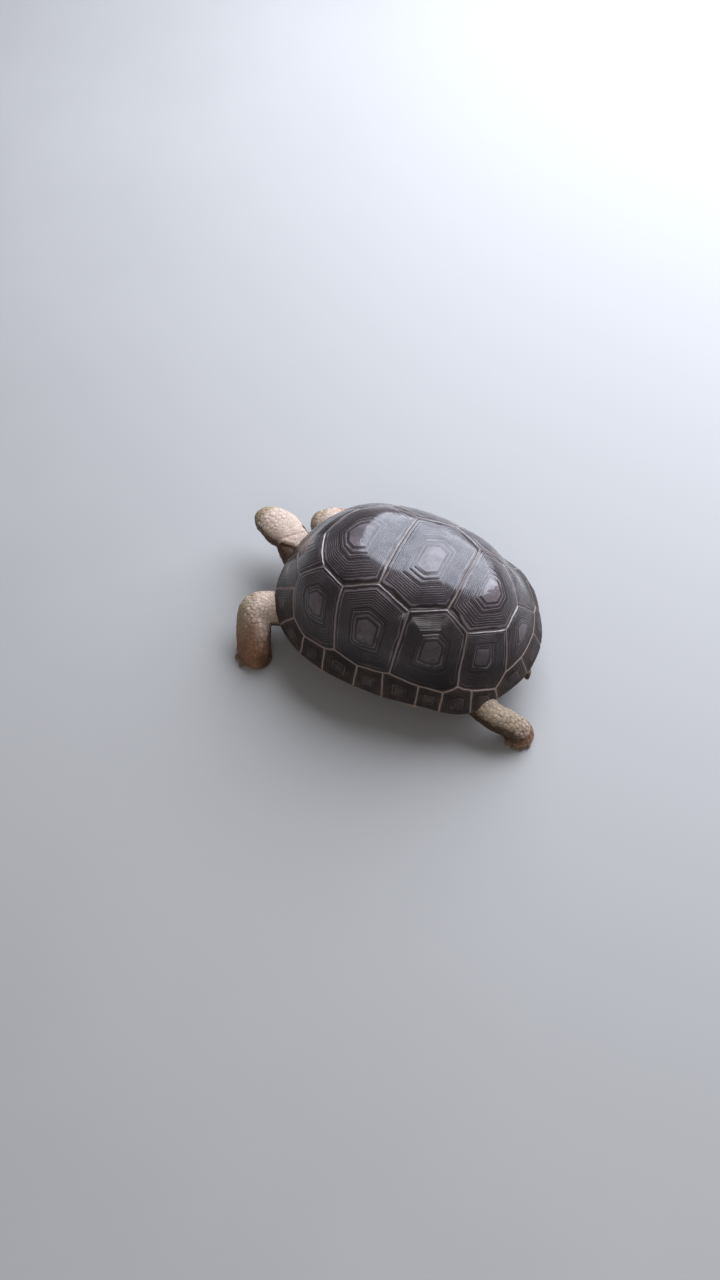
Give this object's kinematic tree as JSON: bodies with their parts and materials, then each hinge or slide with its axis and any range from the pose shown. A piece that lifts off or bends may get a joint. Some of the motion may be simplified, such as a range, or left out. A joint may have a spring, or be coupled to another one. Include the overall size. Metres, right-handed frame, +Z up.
{
  "type": "tortoise",
  "caption": "Young giant tortoise walking, head turned slightly to its right, domed dark shell of ringed plates with pale seams.",
  "frame": {"origin": "on the floor, under the middle of the bounding box", "axes": "+Z up, -Y the way it walks, +X its left side"},
  "size_m": [0.3074, 0.4763, 0.1763],
  "materials": {
    "carapace_horn": "near-black brown horn, glossy on top, fine growth rings and pale seams",
    "marginal_horn": "dark brown horn, duller and dusty at the rim",
    "plastron_horn": "brown horn, scuffed",
    "limb_skin": "dry scaly skin, tan with red-brown scales",
    "head_skin": "dry pale tan skin with small flat scales",
    "beak_horn": "brown horn, worn edge",
    "eye": "wet dark brown"
  },
  "bodies": {
    "root": {"vertebral_1": "carapace_horn", "vertebral_2": "carapace_horn", "vertebral_3": "carapace_horn", "vertebral_4": "carapace_horn", "vertebral_5": "carapace_horn", "costal_left_1": "carapace_horn", "costal_left_2": "carapace_horn", "costal_left_3": "carapace_horn", "costal_left_4": "carapace_horn", "costal_right_1": "carapace_horn", "costal_right_2": "carapace_horn", "costal_right_3": "carapace_horn", "costal_right_4": "carapace_horn", "marginal_left_1": "marginal_horn", "marginal_left_2": "marginal_horn", "marginal_left_3": "marginal_horn", "marginal_left_4": "marginal_horn", "marginal_left_5": "marginal_horn", "marginal_left_6": "marginal_horn", "marginal_left_7": "marginal_horn", "marginal_left_8": "marginal_horn", "marginal_left_9": "marginal_horn", "marginal_left_10": "marginal_horn", "marginal_left_11": "marginal_horn", "marginal_right_1": "marginal_horn", "marginal_right_2": "marginal_horn", "marginal_right_3": "marginal_horn", "marginal_right_4": "marginal_horn", "marginal_right_5": "marginal_horn", "marginal_right_6": "marginal_horn", "marginal_right_7": "marginal_horn", "marginal_right_8": "marginal_horn", "marginal_right_9": "marginal_horn", "marginal_right_10": "marginal_horn", "marginal_right_11": "marginal_horn", "nuchal": "marginal_horn", "supracaudal": "marginal_horn", "plastron_gular": "plastron_horn", "plastron_humeral": "plastron_horn", "plastron_pectoral": "plastron_horn", "plastron_abdominal": "plastron_horn", "plastron_femoral": "plastron_horn", "plastron_anal": "plastron_horn", "trunk": "limb_skin", "neck": "limb_skin", "tail": "limb_skin", "leg_front_left": "limb_skin", "leg_front_right": "limb_skin", "leg_hind_left": "limb_skin", "leg_hind_right": "limb_skin", "head": "head_skin", "beak_upper": "beak_horn", "beak_lower": "beak_horn", "eye_left": "eye", "eye_right": "eye"}
  },
  "joints": []
}
